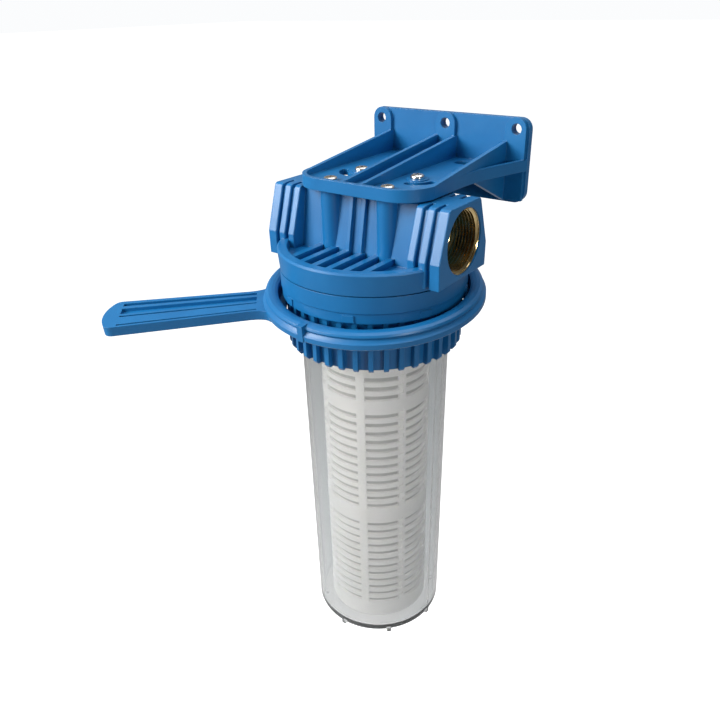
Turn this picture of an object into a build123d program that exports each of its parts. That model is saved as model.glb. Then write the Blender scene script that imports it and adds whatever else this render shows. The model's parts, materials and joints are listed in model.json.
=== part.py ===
from build123d import *
import math
import os

# Cartridge filter housing, 10 inch size, for a wall.
# A blue plastic head with two brass threaded ports carries a clear bowl by a ring nut.
# A slatted washable cartridge stands in the bowl, a wrench hangs on the nut, and a
# bracket screwed to the head holds everything on the wall.
# Working frame: X along the port axis, towards the outlet; Y towards the wall; Z up;
# the vertical bowl axis meets the port axis at the working origin.
# The row frame has the same axes. Its origin is the centre of the middle wall hole,
# on the back face of the wall plate. Lengths are millimetres, angles are degrees.

# Driving dimensions
PORT_SPAN = 140.0
THREAD_MINOR_R = 19.478
INSERT_R = 21.95
INSERT_POCKET_R = 22.0
INSERT_LENGTH = 22.5
PORT_LIP_R = 21.3
PORT_LIP_DEPTH = 1.2

HEAD_TOP_Z = 24.0
HEAD_WIDE_Z = -7.6
HEAD_FOOT_Z = -24.0
FLOOR_Z = -17.0
RIM_TOP_Z = -11.7
RIM_R = 66.3
SKIRT_FOOT_Z = -26.3
SKIRT_FOOT_R = 65.1

NUT_TOP_Z = -27.0
NUT_FOOT_Z = -81.6
NUT_RIBS = 38
THREAD_ROOT_R = 54.8
NUT_BORE_R = 56.8

BOWL_TOP_R = 53.5
BOWL_FOOT_R = 51.8
BOWL_WALL = 3.3
BOWL_FOOT_Z = -332.5
BOWL_FLOOR = 4.0
FLANGE_TOP_Z = -62.4
FLANGE_FOOT_Z = -70.0

CARTRIDGE_R = 40.5
CARTRIDGE_TOP_Z = -74.0
CARTRIDGE_FOOT_Z = -328.0
CARTRIDGE_SEAL = 1.5
CAGE_BAYS = ((-309.6, -222.0), (-210.8, -123.2), (-115.0, -89.5))
CAGE_PHASE = 19.9

WRENCH_REST = Plane(origin=(0, 0, -54.5), x_dir=(1, 0, -0.0238), z_dir=(0.0238, -0.0847, 1))
WRENCH_R = 78.3
WRENCH_LIP_HALF = 2.25
WRENCH_FLANGE_FOOT = 4.0
WRENCH_BEAD_TOP = 15.0
HANDLE_ANGLE = 222.7
HANDLE_FOOT = 0.75
HANDLE_TOP = 7.5
HANDLE_ROOT_HALF = 15.1
HANDLE_TIP_HALF = 19.0

PLATE_BACK_Y = 99.5
PLATE_THICKNESS = 5.0
PLATE_HALF_WIDTH = 65.8
PLATE_TOP_Z = 60.7
PLATE_FOOT_Z = 1.8
WALL_HOLE_Z = 53.4
WALL_HOLE_SPACING = 57.0
WALL_HOLE_R = 3.75

SHELF_FRONT_Y = -26.8
SHELF_FOOT_Z = 25.1
SHELF_FLOOR_Z = 29.3
SHELF_RIM_Z = 33.1
SCREW_X = 22.8
SCREW_ROWS = (-16.0, 18.8)

# Small fits
TOUCH = 0.05
TO_ROW_FRAME = Location((0, -PLATE_BACK_Y, -WALL_HOLE_Z))
EIGHTH_TURN = 45.0


# Shared shapes
def ring(outer_r, inner_r, low_z, high_z):
    """Flat-ended tube about the bowl axis."""
    height = high_z - low_z
    low = Location((0, 0, low_z))
    outer = Cylinder(outer_r, height, align=(Align.CENTER, Align.CENTER, Align.MIN))
    inner = Cylinder(inner_r, height, align=(Align.CENTER, Align.CENTER, Align.MIN))
    return low * (outer - inner)


def turned(points):
    """Solid of revolution about the bowl axis, from an outline of (radius, z) points."""
    outline = Plane.XZ * make_face(Polyline(*points, close=True))
    return revolve(outline, axis=Axis.Z)


def block(low, high):
    """Box between two corners."""
    size = [b - a for a, b in zip(low, high)]
    middle = [(a + b) / 2 for a, b in zip(low, high)]
    return Location(tuple(middle)) * Box(*size)


def upright(x, y, radius, low_z, high_z):
    """Vertical cylinder at (x, y)."""
    rod = Cylinder(radius, high_z - low_z, align=(Align.CENTER, Align.CENTER, Align.MIN))
    return Location((x, y, low_z)) * rod


def along_x(radius, low_x, high_x):
    """Cylinder on the port axis."""
    rod = Cylinder(radius, high_x - low_x, align=(Align.CENTER, Align.CENTER, Align.MIN))
    return Location((low_x, 0, 0), (0, 90, 0)) * rod


def about_axis(shape, angle):
    """The shape turned about the bowl axis."""
    return Rotation(0, 0, angle) * shape


# Head
def end_outline(half_top, half_wide, half_foot, corner_r):
    """Outline across the head, narrow on top and widest just below the port axis."""
    right = [(half_top, HEAD_TOP_Z), (half_wide, HEAD_WIDE_Z), (half_foot, HEAD_FOOT_Z)]
    left = [(-y, z) for y, z in reversed(right)]
    face = make_face(Polyline(*right, *left, close=True))
    return fillet(face.vertices().group_by(Axis.Y)[-1], corner_r)


def slab(outline, low_x, high_x):
    """The outline across the head, made solid between two X stations."""
    return extrude(Plane.YZ.offset(low_x) * outline, high_x - low_x)


def head_block():
    """Port block: full ends, two fins beside each end, and a recessed middle."""
    end_x = PORT_SPAN / 2
    end_thickness = 7.3
    fin_thickness = 5.2
    fin_centres = (49.0, 57.3)
    fin_edge = 0.8
    full = end_outline(19.5, 30.0, 29.7, 3.0)
    groove = end_outline(17.3, 26.6, 26.3, 2.0)
    panel = end_outline(14.0, 19.5, 22.3, 2.0)
    centre_rib = end_outline(16.5, 22.6, 25.0, 2.0)
    shape = slab(panel, -fin_centres[0], fin_centres[0])
    for side in (-1, 1):
        inner = side * fin_centres[0]
        outer = side * (end_x - 1)
        shape += slab(groove, min(inner, outer), max(inner, outer))
        face = side * end_x
        back = side * (end_x - end_thickness)
        shape += softened(slab(full, min(face, back), max(face, back)), fin_edge)
        for centre in fin_centres:
            x = side * centre
            fin = slab(full, x - fin_thickness / 2, x + fin_thickness / 2)
            shape += softened(fin, fin_edge)
        shape += slab(centre_rib, side * 5.0 - 1.5, side * 5.0 + 1.5)
    return shape - head_top_slots()


def softened(slice_across, radius):
    """A slice across the head with the edges round both of its faces rounded off."""
    ends = slice_across.faces().sort_by(Axis.X)
    return fillet(ends[0].edges() + ends[-1].edges(), radius)


def head_top_slots():
    """Shallow slots that carry the grooves between the fins onto the top of the head."""
    floor_z = HEAD_TOP_Z - 2.4
    slot_ends = ((51.7, 54.7, 9.5), (59.9, 62.7, 8.5))
    outer_y = 21.0
    cut = Part()
    for side in (-1, 1):
        for near_x, far_x, inner_y in slot_ends:
            low_x, high_x = sorted((side * near_x, side * far_x))
            cut += block((low_x, -outer_y, floor_z), (high_x, -inner_y, HEAD_TOP_Z + 1))
            cut += block((low_x, inner_y, floor_z), (high_x, outer_y, HEAD_TOP_Z + 1))
    return cut


def head_base():
    """Round floor with its raised rim, floor ribs and the skirt that meets the nut."""
    rim_inner_r = 58.5
    floor_under_z = -23.0
    outline = [
        (0, floor_under_z),
        (60.0, floor_under_z),
        (60.5, SKIRT_FOOT_Z),
        (SKIRT_FOOT_R, SKIRT_FOOT_Z),
        (RIM_R, RIM_TOP_Z - 1.2),
        (RIM_R - 1.2, RIM_TOP_Z),
        (rim_inner_r + 1.0, RIM_TOP_Z),
        (rim_inner_r, FLOOR_Z),
        (0, FLOOR_Z),
    ]
    base = turned(outline)
    rib_pitch = 11.5
    rib_half = 2.25
    rib_top_z = -12.9
    inside_rim = ring(rim_inner_r + 0.5, 0.5, FLOOR_Z - 0.5, rib_top_z)
    for number in range(6):
        x = (number - 2.5) * rib_pitch
        rib = block((x - rib_half, -RIM_R, FLOOR_Z - 0.5), (x + rib_half, RIM_R, rib_top_z))
        base += rib & inside_rim
    return base


def head_columns():
    """Four screw columns, from the floor to the underside of the bracket."""
    column_r = 7.0
    columns = Part()
    for x in (-SCREW_X, SCREW_X):
        for y in SCREW_ROWS:
            columns += upright(x, y, column_r, FLOOR_Z - 0.5, SHELF_FOOT_Z)
    return columns


def head_waterways():
    """Port pockets, the inlet's way down to the bowl and the outlet's way up."""
    end_x = PORT_SPAN / 2
    duct_r = 13.0
    shaft_r = 11.0
    cut = Part()
    for side in (-1, 1):
        inner = side * (end_x - INSERT_LENGTH)
        lip = side * (end_x - PORT_LIP_DEPTH)
        face = side * (end_x + 1)
        cut += along_x(INSERT_POCKET_R, min(inner, lip), max(inner, lip))
        cut += along_x(PORT_LIP_R, min(inner, face), max(inner, face))
    cut += along_x(duct_r, -(end_x - INSERT_LENGTH) - 1, -21.0)
    cut += along_x(shaft_r, 0, end_x - INSERT_LENGTH + 1)
    cut += upright(-34.0, 0, shaft_r, -24.0, 0)
    cut += upright(0, 0, shaft_r, CARTRIDGE_TOP_Z - 9.0, 0)
    return cut


def make_head():
    """The head casting with ports, floor, columns, collar and spigot, as one solid."""
    collar_inner_r = 50.5
    collar_foot_z = -62.0
    spigot_r = 19.0
    nose_r = 13.6
    nose_foot_z = CARTRIDGE_TOP_Z - 8.0
    under_z = -22.5
    pilot_r = 1.7
    pilot_depth = 18.0
    head = head_block() + head_base() + head_columns()
    head += ring(THREAD_ROOT_R, collar_inner_r, collar_foot_z, under_z)
    head += upright(0, 0, spigot_r, CARTRIDGE_TOP_Z, under_z)
    head += upright(0, 0, nose_r, nose_foot_z, CARTRIDGE_TOP_Z)
    head -= head_waterways()
    for x in (-SCREW_X, SCREW_X):
        for y in SCREW_ROWS:
            head -= upright(x, y, pilot_r, SHELF_FOOT_Z - pilot_depth, SHELF_FOOT_Z)
    return head


# Brass inserts
def make_insert(side):
    """Brass port sleeve with a chamfered mouth; side is -1 at the inlet, 1 at the outlet."""
    end_x = PORT_SPAN / 2
    inner = side * (end_x - INSERT_LENGTH + TOUCH)
    face = side * (end_x - PORT_LIP_DEPTH - TOUCH)
    sleeve = along_x(INSERT_R, min(inner, face), max(inner, face))
    sleeve -= along_x(THREAD_MINOR_R, -end_x - 1, end_x + 1)
    return sleeve


# Ring nut
def nut_outline():
    """Half section of the nut, without its grip pockets."""
    lip_r = 54.0
    band_r = 65.2
    skirt_r = 62.2
    chamfer_r = 60.4
    return [
        (NUT_BORE_R, NUT_TOP_Z),
        (band_r, NUT_TOP_Z),
        (band_r, -38.0),
        (band_r - 0.6, -38.4),
        (band_r - 0.6, -45.0),
        (skirt_r, -45.0),
        (skirt_r, -79.4),
        (chamfer_r, NUT_FOOT_Z),
        (lip_r, NUT_FOOT_Z),
        (lip_r, FLANGE_FOOT_Z - TOUCH),
        (NUT_BORE_R, FLANGE_FOOT_Z - TOUCH),
    ]


def make_nut():
    """Ring nut: smooth band on top, ribbed skirt below, inward lip under the bowl's flange."""
    pocket_floor_top_r = 59.4
    pocket_floor_foot_r = 57.2
    rib_width_angle = 3.1
    lug_r = 65.4
    lug_angle = 7.0
    lug_phase = 20.7
    nut = turned(nut_outline())
    pitch = 360.0 / NUT_RIBS
    pocket_angle = pitch - rib_width_angle
    pocket_face = Plane.XZ * make_face(
        Polyline(
            (pocket_floor_top_r, -46.0),
            (66.0, -46.0),
            (66.0, NUT_FOOT_Z - 1),
            (pocket_floor_foot_r, NUT_FOOT_Z - 1),
            close=True,
        )
    )
    pocket = revolve(pocket_face, axis=Axis.Z, revolution_arc=pocket_angle)
    pockets = [
        about_axis(pocket, number * pitch + rib_width_angle / 2) for number in range(NUT_RIBS)
    ]
    nut -= pockets
    lug_face = Plane.XZ * make_face(
        Polyline((64.0, -39.6), (lug_r, -39.6), (lug_r, -44.4), (64.0, -44.4), close=True)
    )
    lug = revolve(lug_face, axis=Axis.Z, revolution_arc=lug_angle)
    for number in range(8):
        nut += about_axis(lug, lug_phase + number * EIGHTH_TURN - lug_angle / 2)
    return nut


# Bowl
def make_bowl():
    """Clear bowl with a top flange, a seal groove, a seat for the cartridge and eight feet."""
    inner_top_r = 49.8
    inner_foot_r = BOWL_FOOT_R - BOWL_WALL
    floor_z = BOWL_FOOT_Z + BOWL_FLOOR
    corner_r = 3.5
    inner_corner_r = 2.5
    flange_r = 56.4
    outer = turned([
        (0, FLANGE_TOP_Z),
        (flange_r, FLANGE_TOP_Z),
        (flange_r, FLANGE_FOOT_Z),
        (BOWL_TOP_R, FLANGE_FOOT_Z),
        (BOWL_FOOT_R, BOWL_FOOT_Z),
        (0, BOWL_FOOT_Z),
    ])
    outer = fillet(outer.edges().group_by(Axis.Z)[0], corner_r)
    feet_z = BOWL_FOOT_Z - 1.8
    for number in range(8):
        foot = block((45.2, -1.7, feet_z), (51.4, 1.7, BOWL_FOOT_Z + 7.0))
        outer += about_axis(foot, number * EIGHTH_TURN)
    inner = turned([
        (0, FLANGE_TOP_Z + 1),
        (inner_top_r, FLANGE_TOP_Z + 1),
        (inner_top_r, FLANGE_FOOT_Z - 8.0),
        (inner_foot_r, floor_z),
        (0, floor_z),
    ])
    inner = fillet(inner.edges().group_by(Axis.Z)[0], inner_corner_r)
    bowl = outer - inner
    bowl -= ring(54.3, 51.0, FLANGE_TOP_Z - 2.9, FLANGE_TOP_Z + 1)
    seat_top_z = CARTRIDGE_FOOT_Z - TOUCH
    bowl += ring(19.0, 11.0, floor_z - 0.5, seat_top_z)
    bowl += ring(13.4, 11.0, floor_z - 0.5, CARTRIDGE_FOOT_Z + 6.0)
    return bowl


def make_bowl_o_ring():
    """Round rubber ring in the flange's groove, under the head's collar."""
    seal_r = 52.65
    section_r = 1.55
    centre_z = FLANGE_TOP_Z - 2.9 + section_r + TOUCH
    return Location((0, 0, centre_z)) * Torus(seal_r, section_r)


# Wrench
def wrench_ring():
    """Ring of the wrench: lip on the nut, rolled bead on top and a flange around its foot."""
    lip_r = 63.0
    wall_r = 67.6
    flange_top = WRENCH_FLANGE_FOOT + 5.2
    bead = WRENCH_BEAD_TOP
    return turned([
        (lip_r, -WRENCH_LIP_HALF),
        (lip_r, WRENCH_LIP_HALF),
        (wall_r, WRENCH_LIP_HALF + 1.0),
        (wall_r, bead - 1.4),
        (69.4, bead - 0.4),
        (71.6, bead),
        (74.0, bead - 0.1),
        (75.9, bead - 1.2),
        (76.5, bead - 2.6),
        (75.6, bead - 4.2),
        (77.2, flange_top),
        (WRENCH_R, flange_top - 0.9),
        (WRENCH_R, WRENCH_FLANGE_FOOT + 0.9),
        (WRENCH_R - 0.9, WRENCH_FLANGE_FOOT),
        (69.5, WRENCH_FLANGE_FOOT),
        (66.0, -WRENCH_LIP_HALF),
    ])


def handle_half(reach):
    """Half width of the handle at a distance from the bowl axis; it widens to its tip."""
    root_reach = 80.0
    tip_reach = 180.0
    share = (reach - root_reach) / (tip_reach - root_reach)
    return HANDLE_ROOT_HALF + share * (HANDLE_TIP_HALF - HANDLE_ROOT_HALF)


def handle_outline():
    """Plan of the handle: tapered bar, flared at the ring and bowed at its tip."""
    start = 66.0
    root = 74.0
    flare = 6.0
    shoulder = root + 14.0
    far_reach = 181.5
    near_reach = 184.0
    tip_reach = 188.5
    corner_r = 6.0
    far_corner = (far_reach, -HANDLE_TIP_HALF)
    near_corner = (near_reach, HANDLE_TIP_HALF)
    far_shoulder = (shoulder, -handle_half(shoulder))
    near_shoulder = (shoulder, handle_half(shoulder))
    far_root = (root, -handle_half(root) - flare)
    near_root = (root, handle_half(root) + flare)
    lines = [
        Line((start, far_root[1]), far_root),
        Spline(far_root, far_shoulder, tangents=[(0.5, 1), (1, 0)]),
        Line(far_shoulder, far_corner),
        ThreePointArc(far_corner, (tip_reach, 0), near_corner),
        Line(near_corner, near_shoulder),
        Spline(near_shoulder, near_root, tangents=[(-1, 0), (-0.5, 1)]),
        Line(near_root, (start, near_root[1])),
        Line((start, near_root[1]), (start, far_root[1])),
    ]
    outline = make_face([edge for line in lines for edge in line.edges()])
    return fillet(outline.vertices().sort_by(Axis.X)[-2:], corner_r)


def wrench_handle():
    """Flat bar along X with four channels along its top, which widen with the bar."""
    channel_floor = HANDLE_TOP - 2.4
    low_reach = 83.0
    high_reach = 177.0
    shares = ((-0.80, -0.60), (-0.40, 0.02), (0.16, 0.25), (0.80, 0.88))
    bar = extrude(Plane.XY.offset(HANDLE_FOOT) * handle_outline(), HANDLE_TOP - HANDLE_FOOT)
    for low, high in shares:
        root_half = handle_half(low_reach)
        tip_half = handle_half(high_reach)
        channel = make_face(
            Polyline(
                (low_reach, low * root_half),
                (high_reach, low * tip_half),
                (high_reach, high * tip_half),
                (low_reach, high * root_half),
                close=True,
            )
        )
        bar -= extrude(Plane.XY.offset(channel_floor) * channel, 10.0)
    return bar


def wrench_teeth():
    """Teeth inside the lip, one in every other grip pocket of the nut."""
    tooth_r = 60.8
    root_r = 63.6
    width_angle = 4.6
    tooth_half = WRENCH_LIP_HALF - 0.2
    face = Plane.XZ * make_face(
        Polyline(
            (tooth_r, -tooth_half),
            (root_r, -tooth_half),
            (root_r, tooth_half),
            (tooth_r, tooth_half),
            close=True,
        )
    )
    tooth = revolve(face, axis=Axis.Z, revolution_arc=width_angle)
    pitch = 360.0 / NUT_RIBS
    return [
        about_axis(tooth, (number + 0.5) * pitch - width_angle / 2)
        for number in range(0, NUT_RIBS, 2)
    ]


def make_wrench():
    """Ring wrench that hangs on the nut, a little tilted, with its teeth in the grip pockets."""
    inside_r = 70.0
    tab_angle = -91.0
    bar = wrench_handle() - upright(0, 0, inside_r, HANDLE_FOOT - 1, HANDLE_TOP + 1)
    wrench = wrench_ring() + about_axis(bar, HANDLE_ANGLE)
    wrench += wrench_teeth()
    tab = block((73.0, -2.2, WRENCH_FLANGE_FOOT), (WRENCH_R + 0.5, 2.2, WRENCH_BEAD_TOP + 0.3))
    wrench += about_axis(tab, tab_angle)
    return WRENCH_REST.location * wrench


# Bracket
def shelf_outline(inset):
    """Plan of the shelf: straight sides that flare out to the plate's full width."""
    half = 50.5 - inset
    wide = PLATE_HALF_WIDTH - inset
    front = SHELF_FRONT_Y + inset
    back = PLATE_BACK_Y - 1.0
    corner_r = 23.0 - inset
    flare_y = 22.0
    plate_y = PLATE_BACK_Y - PLATE_THICKNESS
    right = Spline(
        (half, flare_y),
        (half + 3.2, 54.0),
        (half + 9.4, 76.0),
        (wide, plate_y),
        tangents=[(0, 1), (0.35, 1)],
    )
    lines = [
        right,
        mirror(right, about=Plane.YZ),
        Line((half, flare_y), (half, front)),
        Line((half, front), (-half, front)),
        Line((-half, front), (-half, flare_y)),
        Line((wide, plate_y), (wide, back)),
        Line((wide, back), (-wide, back)),
        Line((-wide, back), (-wide, plate_y)),
    ]
    outline = make_face([edge for line in lines for edge in line.edges()])
    return fillet(outline.vertices().group_by(Axis.Y)[0], corner_r)


def wall_plate():
    """Upright plate with rounded corners and three raised pads around its holes."""
    front_y = PLATE_BACK_Y - PLATE_THICKNESS
    pad_front_y = front_y - 2.6
    pad_half = 8.0
    pad_spacing = 56.3
    middle_z = (PLATE_TOP_Z + PLATE_FOOT_Z) / 2
    sketch = RectangleRounded(2 * PLATE_HALF_WIDTH, PLATE_TOP_Z - PLATE_FOOT_Z, 8.0)
    back = Plane.XZ.offset(-PLATE_BACK_Y)
    plate = extrude(back * Location((0, middle_z)) * sketch, PLATE_THICKNESS)
    holes = Part()
    for number in (-1, 0, 1):
        x = number * WALL_HOLE_SPACING
        pad_x = number * pad_spacing
        pad_foot_z = PLATE_FOOT_Z + 2.0
        high = (pad_x + pad_half, front_y + 1, WALL_HOLE_Z)
        pad = block((pad_x - pad_half, pad_front_y, pad_foot_z), high)
        crown = Cylinder(pad_half, front_y + 1 - pad_front_y)
        middle_y = (front_y + 1 + pad_front_y) / 2
        plate += pad + Location((pad_x, middle_y, WALL_HOLE_Z), (90, 0, 0)) * crown
        hole = Cylinder(WALL_HOLE_R, 40.0)
        holes += Location((x, PLATE_BACK_Y, WALL_HOLE_Z), (90, 0, 0)) * hole
    return plate - holes


def shelf_ribs():
    """Four sloping ribs on the shelf, and two gussets under it."""
    wall_y = PLATE_BACK_Y - 1.0
    wall_z = 45.5
    slope_foot_y = -20.0
    ribs = Part()
    outline = make_face(
        Polyline(
            (SHELF_FRONT_Y + 1.5, SHELF_FLOOR_Z - 1),
            (SHELF_FRONT_Y + 1.5, SHELF_RIM_Z),
            (slope_foot_y, SHELF_RIM_Z),
            (wall_y, wall_z),
            (wall_y, SHELF_FLOOR_Z - 1),
            close=True,
        )
    )
    for low_x in (-9.0, 6.0):
        ribs += extrude(Plane.YZ.offset(low_x) * outline, 3.0)
    side = make_face(
        Polyline(
            (-5.0, SHELF_FLOOR_Z - 1),
            (-5.0, SHELF_RIM_Z),
            (wall_y, wall_z),
            (wall_y, SHELF_FLOOR_Z - 1),
            close=True,
        )
    )
    gusset = make_face(
        Polyline(
            (46.0, SHELF_FOOT_Z + 1),
            (wall_y, SHELF_FOOT_Z + 1),
            (wall_y, PLATE_FOOT_Z + 1.0),
            (PLATE_BACK_Y - PLATE_THICKNESS - 1.0, PLATE_FOOT_Z + 1.0),
            (46.0, SHELF_FOOT_Z),
            close=True,
        )
    )
    for low_x in (-50.5, 47.5):
        ribs += extrude(Plane.YZ.offset(low_x) * side, 3.0)
        ribs += extrude(Plane.YZ.offset(low_x) * gusset, 3.0)
    return ribs


def kidney(side):
    """Curved opening in the shelf floor, around one rear screw; side is -1 or 1."""
    sweep = 75.0
    middle_r = 13.0
    half_width = 3.0
    start = -85.0 if side > 0 else 190.0
    profile = Plane.XZ * Location((middle_r, 0)) * Rectangle(2 * half_width, 20.0)
    slot = Rotation(0, 0, start) * revolve(profile, axis=Axis.Z, revolution_arc=sweep)
    for angle in (start, start + sweep):
        turn = math.radians(angle)
        x = middle_r * math.cos(turn)
        y = middle_r * math.sin(turn)
        slot += Location((x, y, 0)) * Cylinder(half_width, 20.0)
    return Location((side * SCREW_X, SCREW_ROWS[1], SHELF_FLOOR_Z)) * slot


def make_bracket():
    """Wall bracket: flared shelf with a rim, sloping ribs, gussets and the wall plate."""
    rim_width = 3.0
    screw_hole_r = 2.6
    boss_r = 7.4
    boss_height = 0.7
    shelf = extrude(Plane.XY.offset(SHELF_FOOT_Z) * shelf_outline(0.0), SHELF_RIM_Z - SHELF_FOOT_Z)
    tray = extrude(Plane.XY.offset(SHELF_FLOOR_Z) * shelf_outline(rim_width), 10.0)
    bracket = shelf - tray + wall_plate() + shelf_ribs()
    for x in (-SCREW_X, SCREW_X):
        for y in SCREW_ROWS:
            bracket += upright(x, y, boss_r, SHELF_FLOOR_Z - 1, SHELF_FLOOR_Z + boss_height)
            bracket -= upright(x, y, screw_hole_r, SHELF_FOOT_Z - 1, SHELF_RIM_Z)
    for side in (-1, 1):
        bracket -= kidney(side)
        rear = block((-9.0, -5.0, -10.0), (9.0, 5.0, 10.0))
        rear = fillet(rear.edges().filter_by(Axis.Z), 4.5)
        bracket -= Location((side * 26.0, 79.0, SHELF_FLOOR_Z)) * rear
    return bracket


def make_bracket_screws():
    """Four pan-head screws with cross recesses, through the shelf into the columns."""
    head_r = 4.9
    head_height = 2.6
    seat_z = SHELF_FLOOR_Z + 0.7 + TOUCH
    shank_r = 1.65
    reach = 16.0
    cross_width = 1.1
    cross_length = 5.6
    screws = []
    for x in (-SCREW_X, SCREW_X):
        for y in SCREW_ROWS:
            head = upright(x, y, head_r, seat_z, seat_z + head_height)
            head = fillet(head.edges().group_by(Axis.Z)[-1], head_height * 0.75)
            screw = head + upright(x, y, shank_r, SHELF_FOOT_Z - reach, seat_z + 0.5)
            for length, width in ((cross_length, cross_width), (cross_width, cross_length)):
                slot = Box(length, width, 2.8)
                screw -= Location((x, y, seat_z + head_height), (0, 0, 25)) * slot
            screws.append(screw)
    return Compound(children=[Part(s.wrapped) for s in screws])


# Cartridge
def cartridge_caps():
    """Z levels of the cartridge: under the top cap, and on the bottom cap."""
    top_cap = 12.5
    foot_cap = 13.0
    under_top = CARTRIDGE_TOP_Z - CARTRIDGE_SEAL - top_cap
    return under_top, CARTRIDGE_FOOT_Z + CARTRIDGE_SEAL + foot_cap


def make_cage():
    """Slatted outer cage as a windowed tube: three bays between solid bands, eight bars."""
    inner_r = 38.2
    bar_angle = 8.6
    high_z, low_z = cartridge_caps()
    cage = ring(CARTRIDGE_R, inner_r, low_z, high_z)
    for foot_z, head_z in CAGE_BAYS:
        face = Plane.XZ * make_face(
            Polyline(
                (inner_r - 1, foot_z),
                (CARTRIDGE_R + 1, foot_z),
                (CARTRIDGE_R + 1, head_z),
                (inner_r - 1, head_z),
                close=True,
            )
        )
        window = revolve(face, axis=Axis.Z, revolution_arc=EIGHTH_TURN - bar_angle)
        start = CAGE_PHASE + bar_angle / 2
        cage -= [about_axis(window, start + n * EIGHTH_TURN) for n in range(8)]
    return cage


def make_mesh():
    """Filter net, a thin sleeve just inside the cage."""
    outer_r = 38.0
    high_z, low_z = cartridge_caps()
    return ring(outer_r, outer_r - 0.8, low_z + TOUCH, high_z - TOUCH)


def make_cap(low_z, high_z, rounded_top):
    """End cap of the cartridge: a disc with a centre hole and one rounded outer edge."""
    hole_r = 14.2
    edge_r = 3.0
    cap = ring(CARTRIDGE_R, hole_r, low_z, high_z)
    level = cap.edges().filter_by(GeomType.CIRCLE).group_by(Axis.Z)[-1 if rounded_top else 0]
    return fillet(level.sort_by(SortBy.RADIUS)[-1], edge_r)


def make_flat_seal(low_z, high_z):
    """Flat ring seal at one end of the cartridge."""
    return ring(21.0, 14.2, low_z, high_z)


# Export
def save(shape, node):
    """Writes one sub-part in the row frame."""
    placed = TO_ROW_FRAME * shape
    placed.label = node
    export_step(placed, os.path.join("parts", node + ".step"))


def main():
    """Builds and writes every sub-part."""
    os.makedirs("parts", exist_ok=True)
    under_cap_z, on_cap_z = cartridge_caps()
    save(make_head(), "head")
    save(make_insert(-1), "inlet_insert")
    save(make_insert(1), "outlet_insert")
    save(make_nut(), "ring_nut")
    save(make_bowl(), "bowl")
    save(make_bowl_o_ring(), "bowl_o_ring")
    save(make_wrench(), "wrench")
    save(make_bracket(), "bracket")
    save(make_bracket_screws(), "bracket_screws")
    save(make_cage(), "cartridge_cage")
    save(make_mesh(), "cartridge_mesh")
    save(make_cap(under_cap_z, CARTRIDGE_TOP_Z - CARTRIDGE_SEAL, True), "cartridge_top_cap")
    save(make_cap(CARTRIDGE_FOOT_Z + CARTRIDGE_SEAL, on_cap_z, False), "cartridge_bottom_cap")
    top_seal = make_flat_seal(CARTRIDGE_TOP_Z - CARTRIDGE_SEAL, CARTRIDGE_TOP_Z)
    foot_seal = make_flat_seal(CARTRIDGE_FOOT_Z, CARTRIDGE_FOOT_Z + CARTRIDGE_SEAL)
    save(top_seal, "cartridge_top_seal")
    save(foot_seal, "cartridge_bottom_seal")


main()
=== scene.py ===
import json
import math

import bmesh
import bpy
from mathutils import Matrix, Vector


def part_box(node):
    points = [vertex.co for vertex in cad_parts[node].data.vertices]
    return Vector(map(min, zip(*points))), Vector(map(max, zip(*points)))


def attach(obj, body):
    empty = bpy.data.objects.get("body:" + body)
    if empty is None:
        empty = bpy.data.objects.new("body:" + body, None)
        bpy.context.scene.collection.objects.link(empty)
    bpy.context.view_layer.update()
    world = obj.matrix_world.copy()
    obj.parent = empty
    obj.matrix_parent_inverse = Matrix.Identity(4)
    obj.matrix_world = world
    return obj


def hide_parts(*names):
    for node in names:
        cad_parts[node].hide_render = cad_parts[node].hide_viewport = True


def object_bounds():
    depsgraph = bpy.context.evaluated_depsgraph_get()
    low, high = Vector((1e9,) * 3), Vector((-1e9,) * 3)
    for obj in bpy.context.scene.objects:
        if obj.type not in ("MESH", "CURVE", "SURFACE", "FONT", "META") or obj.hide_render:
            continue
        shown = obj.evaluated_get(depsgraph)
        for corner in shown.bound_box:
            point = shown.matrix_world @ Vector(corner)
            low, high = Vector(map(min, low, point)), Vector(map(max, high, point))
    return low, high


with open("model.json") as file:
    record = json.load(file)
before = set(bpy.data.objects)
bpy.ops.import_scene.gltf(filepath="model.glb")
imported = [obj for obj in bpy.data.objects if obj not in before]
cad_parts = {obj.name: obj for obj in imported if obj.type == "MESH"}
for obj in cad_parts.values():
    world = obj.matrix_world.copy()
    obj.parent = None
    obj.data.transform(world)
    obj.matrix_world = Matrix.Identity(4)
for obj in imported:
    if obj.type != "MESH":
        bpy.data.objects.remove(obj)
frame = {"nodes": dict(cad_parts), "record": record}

CAD_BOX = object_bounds()
MM = 0.001

# Reference lines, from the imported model: the vertical bowl axis and the port axis.
bowl_low, bowl_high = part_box("bowl")
port_low, port_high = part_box("outlet_insert")
AXIS_Y = (bowl_low.y + bowl_high.y) / 2
PORT_Z = (port_low.z + port_high.z) / 2
ORIGIN = Vector((0.0, AXIS_Y, PORT_Z))

# Camera, about the point where the bowl axis meets the port axis.
CAMERA_AZIMUTH = 36.94
CAMERA_ELEVATION = 27.46
CAMERA_ROLL = -1.32
CAMERA_DISTANCE = 466.2
CAMERA_TARGET = (16.85, -36.16, -80.0)
FOCAL_SHARE = 0.9502
CAMERA_SHIFT = (-0.0060, -0.0060)

# Threads: depth and pitch in millimetres.
PORT_THREAD_PITCH = 2.309
PORT_THREAD_DEPTH = 1.479
NUT_THREAD_PITCH = 6.0
NUT_THREAD_DEPTH = 1.7
THREAD_LEAD_OUT = 2.0

# Cartridge slats. Each bay is its foot, in millimetres above the port axis, and its slats.
SLAT_PITCH = 7.3
SLAT_HEIGHT = 3.5
CAGE_WALL = 2.3
SLAT_SETBACK = 0.35
COMB_SETBACK = 1.4
BAYS = ((-309.6, 12), (-210.8, 12), (-115.0, 3))

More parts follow.
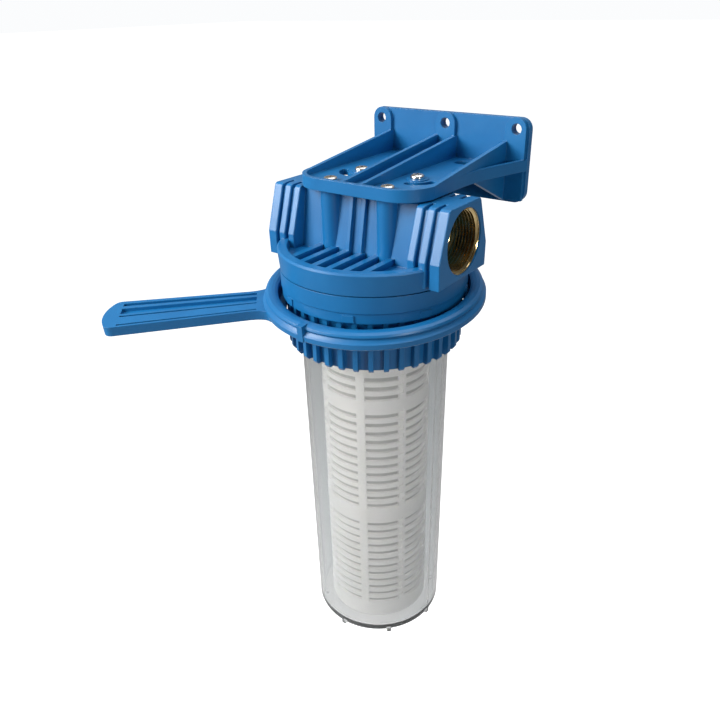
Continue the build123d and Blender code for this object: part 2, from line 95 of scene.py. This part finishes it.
# Cage bars, in degrees round the bowl axis. Every other bar is a strip beside a comb.
BAR_PHASE = 19.9
BAR_HALF_ANGLE = 4.3
STRIP_ANGLES = (0.3, 2.1)
COMB_ANGLE = 5.2
BAR_COUNT = 8
BAR_PITCH = 360.0 / BAR_COUNT
OPEN_STEPS = 6

# Studio surround: colours from the inlet's side across to the outlet's side.
ROOM_LIGHT = 0.5
ROOM_START = (0.75, 0.76, 0.78)
ROOM_END = (0.12, 0.13, 0.15)
ROOM_STOPS = (
    (0.22, (0.55, 0.45, 0.30)),
    (0.32, (0.95, 0.93, 0.88)),
    (0.42, (0.80, 0.81, 0.83)),
    (0.62, (0.34, 0.35, 0.37)),
)
BACKDROP_COLOUR = (0.965, 0.975, 0.985)
FLOOR_GLOW = 0.92
FLOOR_DROP = 0.75
FLOOR_HALF = 40.0

# Light that the clear bowl scatters onto the cartridge.
SCATTER_COLOUR = (1.0, 0.97, 0.92)
SCATTER_STRENGTH = 0.14


# ---------------------------------------------------------------- mesh helpers
def in_place(points):
    """Points in millimetres about the reference origin, as row positions in metres."""
    return [ORIGIN + Vector(p) * MM for p in points]


def new_piece(name, points, faces, smooth_angle=35.0):
    """A mesh object from millimetre points, cleaned up, with smooth faces and kept edges."""
    mesh = bpy.data.meshes.new(name)
    mesh.from_pydata([tuple(p) for p in in_place(points)], [], faces)
    bm = bmesh.new()
    bm.from_mesh(mesh)
    bmesh.ops.remove_doubles(bm, verts=bm.verts, dist=1e-6)
    bmesh.ops.dissolve_degenerate(bm, edges=bm.edges, dist=1e-7)
    bmesh.ops.recalc_face_normals(bm, faces=bm.faces)
    limit = math.radians(smooth_angle)
    for face in bm.faces:
        face.smooth = True
    for edge in bm.edges:
        if len(edge.link_faces) == 2:
            edge.smooth = edge.calc_face_angle(0.0) < limit
    bm.to_mesh(mesh)
    bm.free()
    piece = bpy.data.objects.new(name, mesh)
    bpy.context.scene.collection.objects.link(piece)
    return piece


def threaded_sleeve(low, high, pitch, radius_at, back_radius, place, turns_steps=96, per_pitch=12):
    """Closed sleeve whose one wall follows a right-hand helix.

    radius_at(phase, height) is the threaded wall's radius, back_radius the plain wall's,
    and place(radius, angle, height) puts a point in space.
    """
    step = pitch / per_pitch
    count = int(math.ceil((high - low + pitch) / step)) + 1
    rows = count + 2
    points = []
    for column in range(turns_steps):
        angle = 2 * math.pi * column / turns_steps
        for row in range(count):
            along = low - pitch + row * step
            height = along + pitch * angle / (2 * math.pi)
            height = min(max(height, low), high)
            phase = (along / pitch) % 1.0
            points.append(place(radius_at(phase, height), angle, height))
        points.append(place(back_radius, angle, high))
        points.append(place(back_radius, angle, low))
    faces = []
    for column in range(turns_steps):
        wrap = column + 1 == turns_steps
        beside = 0 if wrap else column + 1
        for row in range(rows):
            here = (row, (row + 1) % rows)
            there = here
            if wrap:
                there = [min(r + per_pitch, count - 1) if r < count else r for r in here]
            faces.append((
                column * rows + here[0],
                column * rows + here[1],
                beside * rows + there[1],
                beside * rows + there[0],
            ))
    return points, faces


def limited(value):
    """The value kept within 0 to 1."""
    return min(1.0, max(0.0, value))


def about_bowl(radius, angle, height):
    """Point at an angle round the bowl axis and a height above the port axis."""
    return (radius * math.cos(angle), radius * math.sin(angle), height)


def about_port(radius, angle, height):
    """Point at an angle round the port axis and a distance along it."""
    return (height, radius * math.cos(angle), radius * math.sin(angle))


# ---------------------------------------------------------------- material helpers
def material(name):
    """A fresh node material: its nodes, links, shader and a noise coordinate in metres."""
    made = bpy.data.materials.new(name)
    made.use_nodes = True
    nodes = made.node_tree.nodes
    shader = nodes["Principled BSDF"]
    place = nodes.new("ShaderNodeTexCoord")
    return made, nodes, made.node_tree.links, shader, place.outputs["Object"]


def noise(nodes, links, where, scale, detail=3.0, roughness=0.55):
    """Noise from 0 to 1 at a scale in features per metre."""
    node = nodes.new("ShaderNodeTexNoise")
    node.inputs["Scale"].default_value = scale
    node.inputs["Detail"].default_value = detail
    node.inputs["Roughness"].default_value = roughness
    links.new(where, node.inputs["Vector"])
    return node.outputs["Fac"]


def spread(nodes, links, source, low, high):
    """Maps a 0 to 1 value onto low to high."""
    node = nodes.new("ShaderNodeMapRange")
    node.inputs["To Min"].default_value = low
    node.inputs["To Max"].default_value = high
    links.new(source, node.inputs["Value"])
    return node.outputs["Result"]


def blend_colours(nodes, links, source, first, second, low=0.35, high=0.65):
    """Colour that goes from first to second as the source goes from low to high."""
    ramp = nodes.new("ShaderNodeValToRGB")
    ramp.color_ramp.elements[0].position = low
    ramp.color_ramp.elements[0].color = (*first, 1.0)
    ramp.color_ramp.elements[1].position = high
    ramp.color_ramp.elements[1].color = (*second, 1.0)
    links.new(source, ramp.inputs["Fac"])
    return ramp.outputs["Color"]


def bump(nodes, links, source, distance, strength=1.0, normal=None):
    """Surface normal raised by the source, by a distance in metres."""
    node = nodes.new("ShaderNodeBump")
    node.inputs["Distance"].default_value = distance
    node.inputs["Strength"].default_value = strength
    links.new(source, node.inputs["Height"])
    if normal is not None:
        links.new(normal, node.inputs["Normal"])
    return node.outputs["Normal"]


def soft_edges(nodes, radius):
    """Surface normal that rounds edges off by a radius in metres."""
    node = nodes.new("ShaderNodeBevel")
    node.samples = 4
    node.inputs["Radius"].default_value = radius
    return node.outputs["Normal"]


def blue_plastic():
    """Moulded polypropylene: even blue, faint flow marks and a fine orange peel."""
    made, nodes, links, shader, where = material("blue_plastic")
    cloud = noise(nodes, links, where, 28.0, 4.0)
    colour = blend_colours(nodes, links, cloud, (0.004, 0.118, 0.315), (0.006, 0.136, 0.350))
    links.new(colour, shader.inputs["Base Color"])
    grain = noise(nodes, links, where, 900.0, 2.0)
    links.new(spread(nodes, links, grain, 0.30, 0.42), shader.inputs["Roughness"])
    peel = noise(nodes, links, where, 420.0, 2.0)
    normal = bump(nodes, links, peel, 0.00006, 0.35, soft_edges(nodes, 0.0006))
    links.new(normal, shader.inputs["Normal"])
    shader.inputs["IOR"].default_value = 1.49
    return made


def brass():
    """Machined brass: a fine grain bump and slightly uneven colour."""
    made, nodes, links, shader, where = material("brass")
    tint = noise(nodes, links, where, 180.0, 3.0)
    colour = blend_colours(nodes, links, tint, (0.62, 0.44, 0.19), (0.80, 0.62, 0.32))
    links.new(colour, shader.inputs["Base Color"])
    shader.inputs["Metallic"].default_value = 1.0
    grain = noise(nodes, links, where, 1500.0, 2.0)
    links.new(spread(nodes, links, grain, 0.10, 0.22), shader.inputs["Roughness"])
    links.new(bump(nodes, links, grain, 0.00004, 0.3), shader.inputs["Normal"])
    return made


def clear_plastic():
    """Clear moulded bowl: thick wall with faint waviness, and a painted shade that darkens its tint
    towards the edges where the wall turns away from view.
    """
    made, nodes, links, shader, where = material("clear_plastic")
    facing = nodes.new("ShaderNodeLayerWeight")
    facing.inputs["Blend"].default_value = 0.5
    # painted shade: the tint darkens where the wall turns away from view
    tint = blend_colours(
        nodes, links, facing.outputs["Facing"], (0.985, 0.988, 0.988), (0.80, 0.845, 0.87), 0.26, 0.50
    )
    links.new(tint, shader.inputs["Base Color"])
    shader.inputs["Transmission Weight"].default_value = 0.96
    shader.inputs["IOR"].default_value = 1.45
    haze = noise(nodes, links, where, 60.0, 2.0)
    links.new(spread(nodes, links, haze, 0.0, 0.03), shader.inputs["Roughness"])
    wave = noise(nodes, links, where, 22.0, 1.0)
    links.new(bump(nodes, links, wave, 0.0004, 0.12), shader.inputs["Normal"])
    return made


def scattered_light(shader):
    """Faint glow that stands for the light the clear bowl scatters onto the cartridge."""
    shader.inputs["Emission Color"].default_value = (*SCATTER_COLOUR, 1.0)
    shader.inputs["Emission Strength"].default_value = SCATTER_STRENGTH


def white_plastic():
    """Natural polypropylene of the cartridge: off-white, a little translucent."""
    made, nodes, links, shader, where = material("white_plastic")
    cloud = noise(nodes, links, where, 40.0, 3.0)
    colour = blend_colours(nodes, links, cloud, (0.78, 0.785, 0.77), (0.83, 0.83, 0.82))
    links.new(colour, shader.inputs["Base Color"])
    shader.inputs["Roughness"].default_value = 0.5
    shader.inputs["Subsurface Weight"].default_value = 0.25
    shader.inputs["Subsurface Radius"].default_value = (0.004, 0.004, 0.0035)
    shader.inputs["Subsurface Scale"].default_value = 0.6
    scattered_light(shader)
    grain = noise(nodes, links, where, 700.0, 2.0)
    normal = bump(nodes, links, grain, 0.00005, 0.4, soft_edges(nodes, 0.0003))
    links.new(normal, shader.inputs["Normal"])
    return made


def filter_net():
    """Fine woven net: threads each way round and along the sleeve, in a grey darker than the net's
    own white, which is painted shade for the gaps between the slats.
    """
    made, nodes, links, shader, where = material("filter_net")
    weave = None
    for direction in ("X", "Y", "Z"):
        wave = nodes.new("ShaderNodeTexWave")
        wave.wave_type = "BANDS"
        wave.bands_direction = direction
        wave.inputs["Scale"].default_value = 900.0
        links.new(where, wave.inputs["Vector"])
        if weave is None:
            weave = wave.outputs["Fac"]
        else:
            add = nodes.new("ShaderNodeMath")
            add.operation = "MAXIMUM"
            links.new(weave, add.inputs[0])
            links.new(wave.outputs["Fac"], add.inputs[1])
            weave = add.outputs["Value"]
    # painted shade: the weave is greyer than the net's own white, to darken the gaps between slats
    colour = blend_colours(nodes, links, weave, (0.42, 0.43, 0.42), (0.60, 0.60, 0.58), 0.4, 0.9)
    links.new(colour, shader.inputs["Base Color"])
    shader.inputs["Roughness"].default_value = 0.8
    shader.inputs["Sheen Weight"].default_value = 0.2
    links.new(bump(nodes, links, weave, 0.0002, 0.5), shader.inputs["Normal"])
    return made


def rubber(name, dark, light):
    """Smooth moulded rubber with a faint bloom."""
    made, nodes, links, shader, where = material(name)
    bloom = noise(nodes, links, where, 120.0, 4.0)
    links.new(blend_colours(nodes, links, bloom, dark, light), shader.inputs["Base Color"])
    links.new(spread(nodes, links, bloom, 0.45, 0.65), shader.inputs["Roughness"])
    links.new(bump(nodes, links, bloom, 0.00008, 0.3), shader.inputs["Normal"])
    return made


def bright_steel():
    """Plated screw steel with a fine grain bump."""
    made, nodes, links, shader, where = material("bright_steel")
    grain = noise(nodes, links, where, 1200.0, 3.0)
    colour = blend_colours(nodes, links, grain, (0.60, 0.59, 0.57), (0.78, 0.77, 0.75))
    links.new(colour, shader.inputs["Base Color"])
    shader.inputs["Metallic"].default_value = 1.0
    links.new(spread(nodes, links, grain, 0.18, 0.32), shader.inputs["Roughness"])
    normal = bump(nodes, links, grain, 0.00004, 0.3, soft_edges(nodes, 0.0003))
    links.new(normal, shader.inputs["Normal"])
    return made


def paint(piece, finish):
    """Gives the piece one material."""
    piece.data.materials.clear()
    piece.data.materials.append(finish)


# ---------------------------------------------------------------- pieces
def port_insert(name, side):
    """Brass sleeve with a cut pipe thread that starts at its mouth."""
    mouth_play = 0.2
    crest_share = 0.12
    flank_share = 0.76
    low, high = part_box(name)
    length_low = (low.x - ORIGIN.x) / MM
    length_high = (high.x - ORIGIN.x) / MM
    outer_r = (high.z - low.z) / MM / 2
    minor_r = frame["record"]["mounts"][-1]["dims"]["r_mm"]
    mouth = length_high if side > 0 else length_low
    inner_end = length_low if side > 0 else length_high
    mouth_r = minor_r + PORT_THREAD_DEPTH + mouth_play

    def radius_at(phase, height):
        ridge = 0.5 - 0.5 * math.cos(2 * math.pi * phase)
        depth = PORT_THREAD_DEPTH * limited((ridge - crest_share) / flank_share)
        depth *= min(1.0, abs(height - inner_end) / THREAD_LEAD_OUT)
        chamfer = mouth_r - abs(mouth - height)
        return max(minor_r + depth, chamfer)

    points, faces = threaded_sleeve(
        length_low, length_high, PORT_THREAD_PITCH, radius_at, outer_r, about_port
    )
    return new_piece(name + "_threaded", points, faces)


def bar_reach(bar):
    """How far a bar reaches before and after its centre; every other bar has a comb."""
    if bar % 2:
        return STRIP_ANGLES[0] + COMB_ANGLE, STRIP_ANGLES[1]
    return BAR_HALF_ANGLE, BAR_HALF_ANGLE


def cage_lines():
    """Angle and height grid lines of the cage, and which cells are solid."""
    low = (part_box("cartridge_cage")[0].z - ORIGIN.z) / MM
    high = (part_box("cartridge_cage")[1].z - ORIGIN.z) / MM
    heights = [low]
    kinds = []
    level = low
    for foot, count in BAYS:
        if foot - level > 0.01:
            heights.append(foot)
            kinds.append("band")
        for number in range(count):
            slat_foot = foot + (number + 1) * SLAT_PITCH - SLAT_HEIGHT
            heights.append(slat_foot)
            kinds.append("gap")
            heights.append(slat_foot + SLAT_HEIGHT)
            kinds.append("slat")
        level = foot + count * SLAT_PITCH
    heights.append(high)
    kinds.append("band")
    angles = []
    columns = []
    for bar in range(BAR_COUNT):
        centre = BAR_PHASE + BAR_PITCH * bar
        before, after = bar_reach(bar)
        if bar % 2:
            angles.append(centre - before)
            columns.append("comb")
            before = STRIP_ANGLES[0]
        angles += [centre - before, centre]
        columns += ["bar", "bar"]
        open_start = centre + after
        open_width = BAR_PITCH - after - bar_reach(bar + 1)[0]
        for step in range(OPEN_STEPS):
            angles.append(open_start + open_width * step / OPEN_STEPS)
            columns.append("open")
    return angles, columns, heights, kinds


def cartridge_cage():
    """Slatted cage: bands, slats, eight bars, and a comb of teeth beside every other bar."""
    angles, columns, heights, kinds = cage_lines()
    outer_r = (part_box("cartridge_cage")[1].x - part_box("cartridge_cage")[0].x) / MM / 2
    inner_r = outer_r - CAGE_WALL
    slat_r = outer_r - SLAT_SETBACK
    comb_floor_r = outer_r - COMB_SETBACK

    def reach(column, kind):
        """Outer radius of a cell of the cage, or 0 where it is open."""
        if column == "bar" or kind == "band":
            return outer_r
        if column == "comb":
            return outer_r if kind == "gap" else comb_floor_r
        return slat_r if kind == "slat" else 0.0

    cells = {
        (c, k): reach(column, kind)
        for c, column in enumerate(columns)
        for k, kind in enumerate(kinds)
    }
    points = []
    index = {}

    def corner(c, k, radius):
        key = (c % len(angles), k, radius)
        if key not in index:
            index[key] = len(points)
            points.append(about_bowl(radius, math.radians(angles[key[0]]), heights[k]))
        return index[key]

    faces = []
    for (c, k), radius in cells.items():
        if not radius:
            continue
        for wall_r in (inner_r, radius):
            faces.append((
                corner(c, k, wall_r), corner(c + 1, k, wall_r),
                corner(c + 1, k + 1, wall_r), corner(c, k + 1, wall_r),
            ))
    for c in range(len(columns)):
        for k in range(len(kinds) + 1):
            below = cells.get((c, k - 1), 0.0)
            above = cells.get((c, k), 0.0)
            if below == above:
                continue
            low_r = min(below, above) or inner_r
            high_r = max(below, above)
            faces.append((
                corner(c, k, low_r), corner(c + 1, k, low_r),
                corner(c + 1, k, high_r), corner(c, k, high_r),
            ))
    for c in range(len(columns)):
        for k in range(len(kinds)):
            left = cells[(c - 1) % len(columns), k]
            right = cells[c, k]
            if left == right:
                continue
            low_r = min(left, right) or inner_r
            high_r = max(left, right)
            faces.append((
                corner(c, k, low_r), corner(c, k + 1, low_r),
                corner(c, k + 1, high_r), corner(c, k, high_r),
            ))
    return new_piece("cartridge_slats", points, faces, 20.0)


def nut_threads():
    """The head collar's outside thread and the nut's inside thread, in mesh at rest."""
    low_z = -60.5
    high_z = -30.0
    root_r = 54.8
    bore_r = 56.8
    sunk = 0.4
    flank_start = 0.45
    flank_share = 0.35
    columns = 120
    rows_per_pitch = 14

    def ridge(phase, offset):
        turned = (phase + offset) % 1.0
        shape = 0.5 + 0.5 * math.cos(2 * math.pi * turned)
        return limited((shape - flank_start) / flank_share)

    def fade(height):
        return limited(min(height - low_z, high_z - height) / THREAD_LEAD_OUT)

    def collar_r(phase, height):
        return root_r + NUT_THREAD_DEPTH * ridge(phase, 0.0) * fade(height)

    def nut_r(phase, height):
        return bore_r - NUT_THREAD_DEPTH * ridge(phase, 0.5) * fade(height)

    made = []
    for name, radius_at, back_r in (
        ("collar_thread", collar_r, root_r - sunk),
        ("nut_thread", nut_r, bore_r + sunk),
    ):
        points, faces = threaded_sleeve(
            low_z, high_z, NUT_THREAD_PITCH, radius_at, back_r, about_bowl,
            columns, rows_per_pitch,
        )
        made.append(new_piece(name, points, faces))
    return made


# ---------------------------------------------------------------- build
finishes = {
    "blue_plastic": blue_plastic(),
    "brass": brass(),
    "clear_plastic": clear_plastic(),
    "black_rubber": rubber("black_rubber", (0.012, 0.012, 0.012), (0.03, 0.03, 0.03)),
    "bright_steel": bright_steel(),
    "white_plastic": white_plastic(),
    "filter_net": filter_net(),
    "white_rubber": rubber("white_rubber", (0.62, 0.62, 0.60), (0.72, 0.72, 0.70)),
}

for entry in frame["record"]["subparts"]:
    node = frame["nodes"][entry["node"]]
    paint(node, finishes[entry["material_slot"]])
    for polygon in node.data.polygons:
        polygon.use_smooth = True

for insert, side in (("inlet_insert", -1), ("outlet_insert", 1)):
    piece = port_insert(insert, side)
    paint(piece, finishes["brass"])
    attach(piece, "housing")
    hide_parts(insert)

slats = cartridge_cage()
paint(slats, finishes["white_plastic"])
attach(slats, "cartridge")
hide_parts("cartridge_cage")

collar_thread, nut_thread = nut_threads()
for piece, body in ((collar_thread, "housing"), (nut_thread, "nut")):
    paint(piece, finishes["blue_plastic"])
    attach(piece, body)


# ---------------------------------------------------------------- stage
def stage_floor():
    """Pale floor well below the object, which hangs from its wall bracket."""
    half = FLOOR_HALF
    level = CAD_BOX[0][2] - FLOOR_DROP
    mesh = bpy.data.meshes.new("floor")
    corners = [(-half, -half), (half, -half), (half, half), (-half, half)]
    mesh.from_pydata([(x, y, level) for x, y in corners], [], [(0, 1, 2, 3)])
    floor = bpy.data.objects.new("floor", mesh)
    bpy.context.scene.collection.objects.link(floor)
    made, nodes, links, shader, where = material("floor_paper")
    cloud = noise(nodes, links, where, 3.0, 2.0)
    pale = blend_colours(nodes, links, cloud, (0.66, 0.67, 0.68), (0.69, 0.69, 0.70))
    links.new(pale, shader.inputs["Base Color"])
    shader.inputs["Roughness"].default_value = 0.9
    shader.inputs["Specular IOR Level"].default_value = 0.0
    shader.inputs["Emission Color"].default_value = (*BACKDROP_COLOUR, 1.0)
    path = nodes.new("ShaderNodeLightPath")
    glow = spread(nodes, links, path.outputs["Is Camera Ray"], 0.0, FLOOR_GLOW)
    links.new(glow, shader.inputs["Emission Strength"])
    paint(floor, made)


def area_light(name, direction, distance, size, power, colour=(1.0, 1.0, 1.0)):
    """Square soft light that faces the object's middle from a direction."""
    data = bpy.data.lights.new(name, "AREA")
    data.shape = "SQUARE"
    data.size = size
    data.energy = power
    data.color = colour
    light = bpy.data.objects.new(name, data)
    middle = ORIGIN + Vector((0.0, 0.0, -0.12))
    light.location = middle + Vector(direction).normalized() * distance
    light.rotation_euler = (middle - light.location).to_track_quat("-Z", "Y").to_euler()
    bpy.context.scene.collection.objects.link(light)


def stage_world():
    """Studio surround: near-white to the camera, a room that darkens across X to the rest."""
    world = bpy.data.worlds.new("studio")
    bpy.context.scene.world = world
    world.use_nodes = True
    nodes = world.node_tree.nodes
    links = world.node_tree.links
    back = nodes["Background"]
    where = nodes.new("ShaderNodeTexCoord")
    parts = nodes.new("ShaderNodeSeparateXYZ")
    links.new(where.outputs["Generated"], parts.inputs["Vector"])
    around = nodes.new("ShaderNodeMapRange")
    around.inputs["From Min"].default_value = -1.0
    around.inputs["From Max"].default_value = 1.0
    links.new(parts.outputs["X"], around.inputs["Value"])
    room = nodes.new("ShaderNodeValToRGB")
    stops = room.color_ramp
    stops.elements[0].position = 0.0
    stops.elements[0].color = (*ROOM_START, 1.0)
    stops.elements[1].position = 1.0
    stops.elements[1].color = (*ROOM_END, 1.0)
    for position, colour in ROOM_STOPS:
        stop = stops.elements.new(position)
        stop.color = (*colour, 1.0)
    links.new(around.outputs["Result"], room.inputs["Fac"])
    links.new(room.outputs["Color"], back.inputs["Color"])
    back.inputs["Strength"].default_value = ROOM_LIGHT
    seen = nodes.new("ShaderNodeBackground")
    seen.inputs["Color"].default_value = (*BACKDROP_COLOUR, 1.0)
    path = nodes.new("ShaderNodeLightPath")
    mix = nodes.new("ShaderNodeMixShader")
    links.new(path.outputs["Is Camera Ray"], mix.inputs["Fac"])
    links.new(back.outputs["Background"], mix.inputs[1])
    links.new(seen.outputs["Background"], mix.inputs[2])
    links.new(mix.outputs["Shader"], nodes["World Output"].inputs["Surface"])


def stage_camera():
    """Camera at the stated angles and distance about its target."""
    azimuth = math.radians(CAMERA_AZIMUTH)
    elevation = math.radians(CAMERA_ELEVATION)
    roll = math.radians(CAMERA_ROLL)
    back = Vector((
        math.sin(azimuth) * math.cos(elevation),
        -math.cos(azimuth) * math.cos(elevation),
        math.sin(elevation),
    ))
    right = Vector((math.cos(azimuth), math.sin(azimuth), 0.0))
    up = right.cross(-back)
    side = right * math.cos(roll) + up * math.sin(roll)
    top = up * math.cos(roll) - right * math.sin(roll)
    data = bpy.data.cameras.new("camera")
    data.sensor_width = 36.0
    data.lens = data.sensor_width * FOCAL_SHARE
    data.shift_x, data.shift_y = CAMERA_SHIFT
    data.clip_start = 0.01
    camera = bpy.data.objects.new("camera", data)
    turn = Matrix((side, top, back)).transposed().to_4x4()
    place = ORIGIN + (Vector(CAMERA_TARGET) + back * CAMERA_DISTANCE) * MM
    camera.matrix_world = Matrix.Translation(place) @ turn
    bpy.context.scene.collection.objects.link(camera)
    bpy.context.scene.camera = camera


stage_floor()
area_light("key", (-0.75, -1.0, 0.75), 1.5, 0.9, 38.0, (1.0, 0.985, 0.96))
area_light("top", (0.1, 0.2, 1.0), 1.5, 1.4, 14.0)
area_light("glint", (1.0, -0.45, 0.3), 1.2, 0.2, 3.2)
stage_world()
stage_camera()
bpy.context.scene.view_settings.view_transform = "Standard"
